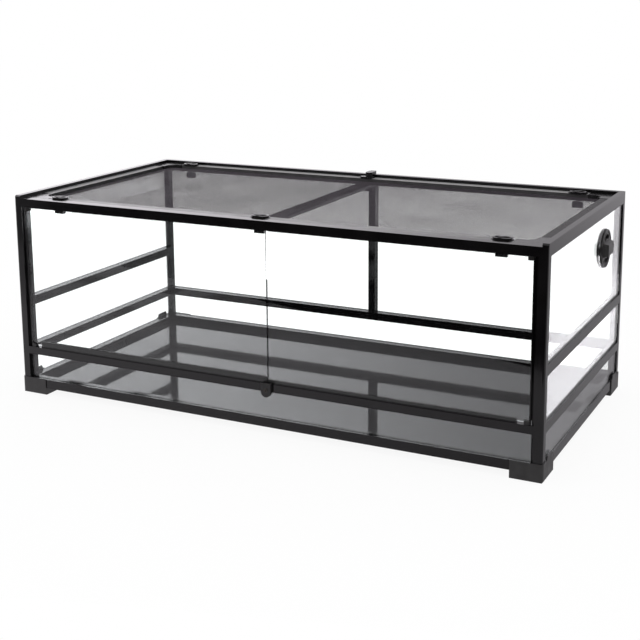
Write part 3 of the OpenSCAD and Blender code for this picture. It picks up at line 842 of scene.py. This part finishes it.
nickel, tree, place = start("plated_zinc_dark_nickel")
drawn = add(tree, "Mapping", {}, {"Vector": place, "Scale": (1, 1, BRUSH_DRAWN_OUT)})
brushed = add(
    tree, "TexNoise", {}, {"Vector": drawn.outputs[0], "Scale": per_mm(BRUSH_MM)}
)
brushed = add(tree, "MapRange", {}, {"Value": brushed.outputs[0], **MIDDLE})
plate = add(
    tree,
    "Mix",
    COLOUR,
    {0: brushed.outputs[0], 6: linear("#45423f"), 7: linear("#5c5955")},
)
gloss = add(
    tree, "MapRange", {}, {"Value": brushed.outputs[0], "To Min": 0.22, "To Max": 0.42}
)
shader = add(
    tree,
    "BsdfPrincipled",
    {},
    {"Base Color": plate.outputs[2], "Metallic": 1.0, "Roughness": gloss.outputs[0]},
)
add(tree, "OutputMaterial", {}, {"Surface": shader.outputs[0]})
print("lock metal:", nickel.name)

# %% [markdown]
# ## Give each part its finish
#
# A part keeps its mesh and only its material slot is filled. The name of a part says
# what it is. The corner caps are moulded, but polished like the bars, so they take the
# finish of an upright bar. Whatever is left over is a bar, and a bar's longest side
# says which way its die lines run.

# %% Assign the finishes
BY_NAME = {
    "floor_panel": floor_glass,
    "lid_mesh": wire_coat,
    "lid_bar_front": lid_bar_pvc,
    "lid_bar_left": lid_bar_pvc,
    "lid_bar_rear": lit_rear_bar_pvc,
    "lid_bar_right": shaded_right_bar_pvc,
    "lid_plates": gloss_abs,
    "top_corner_caps": bar_finish[2],
    "lock_plug": nickel,
    "lock_bolt": nickel,
    "lock_housing": satin_abs,
    "left_door_pivots": satin_abs,
    "right_door_pivots": satin_abs,
}
BY_WORD = {
    "glass": glass,
    "strip": smoked,
    "foot": foot_abs,
    "port": foot_abs,
    "lid_lock": gloss_abs,
}


def finish_for(name):
    """The finish that a part of the frame gets."""
    if name in BY_NAME:
        return BY_NAME[name]
    for word, finish in BY_WORD.items():
        if word in name:
            return finish
    low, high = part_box(name)
    size = high - low
    return bar_finish[max(range(3), key=lambda axis: size[axis])]


for name, part in nodes.items():
    part.data.materials.clear()
    part.data.materials.append(finish_for(name))
used = {part.data.materials[0].name for part in nodes.values()}
print(len(nodes), "parts use", len(used), "finishes:", sorted(used))

# %% [markdown]
# ## The woven mesh
#
# The lid's mesh is thin steel wire, crossed square. The frame holds it as one flat
# sheet, which is fine for weight and for collisions but not for the eye: from a low
# angle the wires hide each other, and the sheet turns from see-through to solid. Only
# real wires do that from every side. One wire is made as a three-sided prism, an Array
# modifier lays out its neighbours, and the result is turned into a plain mesh. Its
# points are then moved a little: a sheet held at its edges sags between them.

# %% Draw one wire
WIRE_PITCH = 1.6 * MM
WIRE = 0.34 * MM
WIRE_SQUASH = 0.8  # rolled a little flat
SEGMENTS = 12
ALONG_X = Matrix(((0, 0, 1), (1, 0, 0), (0, 1, 0)))
ALONG_Y = Matrix(((1, 0, 0), (0, 0, 1), (0, -1, 0)))

sheet_low, sheet_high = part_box("lid_mesh")
sheet_size = sheet_high - sheet_low


def one_wire(axis, start_at):
    """One wire of the sheet along X (axis 0) or Y (axis 1), from start_at."""
    shape = bmesh.new()
    bmesh.ops.create_circle(shape, cap_ends=False, segments=3, radius=WIRE / 2)
    bmesh.ops.scale(shape, vec=(1, WIRE_SQUASH, 1), verts=shape.verts)
    step = sheet_size[axis] / SEGMENTS
    edges = list(shape.edges)
    for _ in range(SEGMENTS):
        new = bmesh.ops.extrude_edge_only(shape, edges=edges)["geom"]
        moved = [g for g in new if isinstance(g, bmesh.types.BMVert)]
        bmesh.ops.translate(shape, vec=(0, 0, step), verts=moved)
        edges = [g for g in new if isinstance(g, bmesh.types.BMEdge)]
    bmesh.ops.contextual_create(shape, geom=edges)
    bmesh.ops.recalc_face_normals(shape, faces=shape.faces)
    lie_down = (ALONG_X, ALONG_Y)[axis]
    bmesh.ops.rotate(shape, cent=(0, 0, 0), matrix=lie_down, verts=shape.verts)
    bmesh.ops.translate(shape, vec=start_at, verts=shape.verts)
    return piece_from(shape, "wires_" + "xy"[axis], wire_coat)


print("sheet", [round(side, 4) for side in sheet_size], "m, wire every", WIRE_PITCH, "m")

# %% Lay out its neighbours
def wire_run(axis, height):
    """All the wires that run along one axis, as one mesh."""
    across = 1 - axis
    count = int(sheet_size[across] / WIRE_PITCH)
    margin = (sheet_size[across] - (count - 1) * WIRE_PITCH) / 2
    start_at = [0.0, 0.0, height]
    start_at[axis] = sheet_low[axis]
    start_at[across] = sheet_low[across] + margin
    wires = one_wire(axis, start_at)
    array = wires.modifiers.new("neighbours", "ARRAY")
    array.count = count
    array.use_relative_offset = False
    array.use_constant_offset = True
    offset = [0.0, 0.0, 0.0]
    offset[across] = WIRE_PITCH
    array.constant_offset_displace = offset
    laid_out = wires.evaluated_get(bpy.context.evaluated_depsgraph_get())
    run = bpy.data.meshes.new_from_object(laid_out)
    bpy.data.objects.remove(wires)
    print("wires along", "XY"[axis], ":", count)
    return run


weave = bmesh.new()
for axis, height in ((0, sheet_high.z - WIRE / 2), (1, sheet_low.z + WIRE / 2)):
    run = wire_run(axis, height)
    weave.from_mesh(run)
    bpy.data.meshes.remove(run)
print("crossed wires:", len(weave.faces), "faces")

# %% Let the sheet sag
SAG = 2.2 * MM
RIPPLE = 0.7 * MM

bar_low, bar_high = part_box("lid_cross_bar")


def sag(x, y):
    """How far the sheet hangs below its level at a place, in metres."""
    panel = sheet_high.x - bar_high.x
    from_bar = min(max((abs(x) - bar_high.x) / panel, 0.0), 1.0)
    from_front = (y - sheet_low.y) / sheet_size.y
    bowl = math.sin(math.pi * from_bar) * math.sin(math.pi * from_front)
    ripple = math.sin(x * 21 + y * 9) * math.sin(y * 17 - x * 5 + 1)
    return bowl * (SAG + RIPPLE * ripple)


for vert in weave.verts:
    vert.co.z -= sag(vert.co.x, vert.co.y)
woven = piece_from(weave, "woven_mesh", wire_coat)
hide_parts("lid_mesh")
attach(woven, "screen_lid")
print("woven mesh:", len(woven.data.polygons), "faces")

# %% [markdown]
# ## Seal on the right post
#
# Beside its hinge a door needs room to turn, which leaves a slit between glass and
# post. On the right a strip of black PVC on the post closes it. The strip sits just
# inside the door, outside the small circle that the door's edge sweeps. It is one flat
# outline with a chamfered corner, drawn out upwards from the sill to the corner cap.

# %% Fit the seal
SEAL_DEEP, SEAL_THICK = 10.0 * MM, 3.2 * MM
SEAL_FRONT = -294.0 * MM
SEAL_CHAMFER = 2.0 * MM
SEAL_ROUNDING = 0.4 * MM
END_GAP = 0.2 * MM

post_low, post_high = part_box("post_front_right")
sill_low, sill_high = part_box("front_sill")
on_post, seal_back = post_low.x, SEAL_FRONT + SEAL_DEEP
outline = [
    (on_post, SEAL_FRONT),
    (on_post, seal_back),
    (on_post - SEAL_THICK, seal_back - SEAL_CHAMFER),
    (on_post - SEAL_THICK, SEAL_FRONT),
]
shape = bmesh.new()
foot_z, head_z = sill_high.z + END_GAP, post_high.z - END_GAP
base = shape.faces.new([shape.verts.new((x, y, foot_z)) for x, y in outline])
grown = bmesh.ops.extrude_face_region(shape, geom=[base])["geom"]
risen = [g for g in grown if isinstance(g, bmesh.types.BMVert)]
bmesh.ops.translate(shape, vec=(0, 0, head_z - foot_z), verts=risen)
bmesh.ops.recalc_face_normals(shape, faces=shape.faces)
bmesh.ops.bevel(
    shape,
    geom=list(shape.edges),
    offset=SEAL_ROUNDING,
    segments=2,
    profile=0.5,
    affect="EDGES",
    material=-1,
)
seal = piece_from(shape, "right_post_seal", bar_finish[2])
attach(seal, "frame")
print("seal from z", round(foot_z, 4), "to", round(head_z, 4))

# %% [markdown]
# ## Edge beads of the doors
#
# A thin black bead, a small U of PVC pushed on for the whole height, covers the cut
# edge of each door beside its hinge. Bare, that edge would glow. A U is one flat
# outline: three sides of a strip, drawn out upwards and given a wall. Solidify puts the
# wall on the side away from the normals, so the normals have to point outwards first.

# %% Push a bead onto each door
BEAD_OVER = 1.4 * MM
BEAD_WALL = 0.9 * MM
BEAD_GAP = 0.05 * MM


def edge_bead(side, body):
    """A U-shaped bead on a door's hinge edge; side is -1 for left, 1 for right."""
    low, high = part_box(body + "_glass")
    edge = (high.x if side > 0 else low.x) + side * BEAD_GAP
    over = edge - side * BEAD_OVER
    near, far = low.y - BEAD_GAP, high.y + BEAD_GAP
    path = [(over, near), (edge, near), (edge, far), (over, far)]
    shape = bmesh.new()
    corners = [shape.verts.new((x, y, low.z)) for x, y in path]
    lines = [shape.edges.new(pair) for pair in zip(corners, corners[1:])]
    raised = bmesh.ops.extrude_edge_only(shape, edges=lines)["geom"]
    top = [g for g in raised if isinstance(g, bmesh.types.BMVert)]
    bmesh.ops.translate(shape, vec=(0, 0, high.z - low.z), verts=top)
    bmesh.ops.recalc_face_normals(shape, faces=shape.faces)
    outer = max(shape.faces, key=lambda f: side * f.calc_center_median().x)
    if outer.normal.x * side < 0:
        bmesh.ops.reverse_faces(shape, faces=shape.faces)
    bmesh.ops.solidify(shape, geom=shape.faces, thickness=-BEAD_WALL)
    bmesh.ops.recalc_face_normals(shape, faces=shape.faces)
    bead = piece_from(shape, body + "_edge_bead", bar_finish[2])
    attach(bead, body)
    reach = max(side * v.co.x for v in bead.data.vertices)
    print(bead.name, "covers", round(edge, 5), "and ends at", round(side * reach, 5))


edge_bead(-1, "left_door")
edge_bead(1, "right_door")

# %% [markdown]
# ## Side panes nearly flush with the bars
#
# From outside, the side panes lie almost level with the bars' faces, with only a small
# ledge in front of them. So each side pane is drawn again as a plate that starts at the
# frame's own inner face and comes out to just short of the bars. An outline is filled
# flat, with a hole where the port goes through, and drawn out to the pane's thickness.

# %% Glaze the sides
BAR_FACE = 610.0 * MM
SHORT_OF_FACE = 2.5 * MM
PORT_HOLE_RADIUS = 42.4 * MM
PORT_PLACE_Y, PORT_PLACE_Z = 134.0 * MM, 361.0 * MM
UPRIGHT = Matrix.Rotation(math.radians(90), 3, "Y")


def side_pane(name, side, with_port=False):
    """A side pane that replaces the frame's own; side is -1 for left, 1 for right."""
    low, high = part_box(name)
    inner = low.x if side > 0 else high.x
    outer = side * (BAR_FACE - SHORT_OF_FACE)
    shape = bmesh.new()
    corners = [(low.y, low.z), (high.y, low.z), (high.y, high.z), (low.y, high.z)]
    verts = [shape.verts.new((inner, y, z)) for y, z in corners]
    edges = [shape.edges.new((a, b)) for a, b in zip(verts, verts[1:] + verts[:1])]
    if with_port:
        ring = bmesh.ops.create_circle(shape, segments=64, radius=PORT_HOLE_RADIUS)
        ring = ring["verts"]
        bmesh.ops.rotate(shape, cent=(0, 0, 0), matrix=UPRIGHT, verts=ring)
        centre = (inner, PORT_PLACE_Y, PORT_PLACE_Z)
        bmesh.ops.translate(shape, vec=centre, verts=ring)
        edges += list({e for v in ring for e in v.link_edges})
    bmesh.ops.triangle_fill(shape, edges=edges, use_beauty=True)
    grown = bmesh.ops.extrude_face_region(shape, geom=list(shape.faces))["geom"]
    moved = [g for g in grown if isinstance(g, bmesh.types.BMVert)]
    bmesh.ops.translate(shape, vec=(outer - inner, 0, 0), verts=moved)
    bmesh.ops.recalc_face_normals(shape, faces=shape.faces)
    pane = piece_from(shape, name.replace("glass", "pane"), glass)
    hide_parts(name)
    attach(pane, "frame")
    print(pane.name, "from x", round(inner, 4), "to", round(outer, 4))


for level in ("lower", "middle", "upper"):
    side_pane(f"left_{level}_glass", -1)
    side_pane(f"right_{level}_glass", 1, with_port=level == "upper")
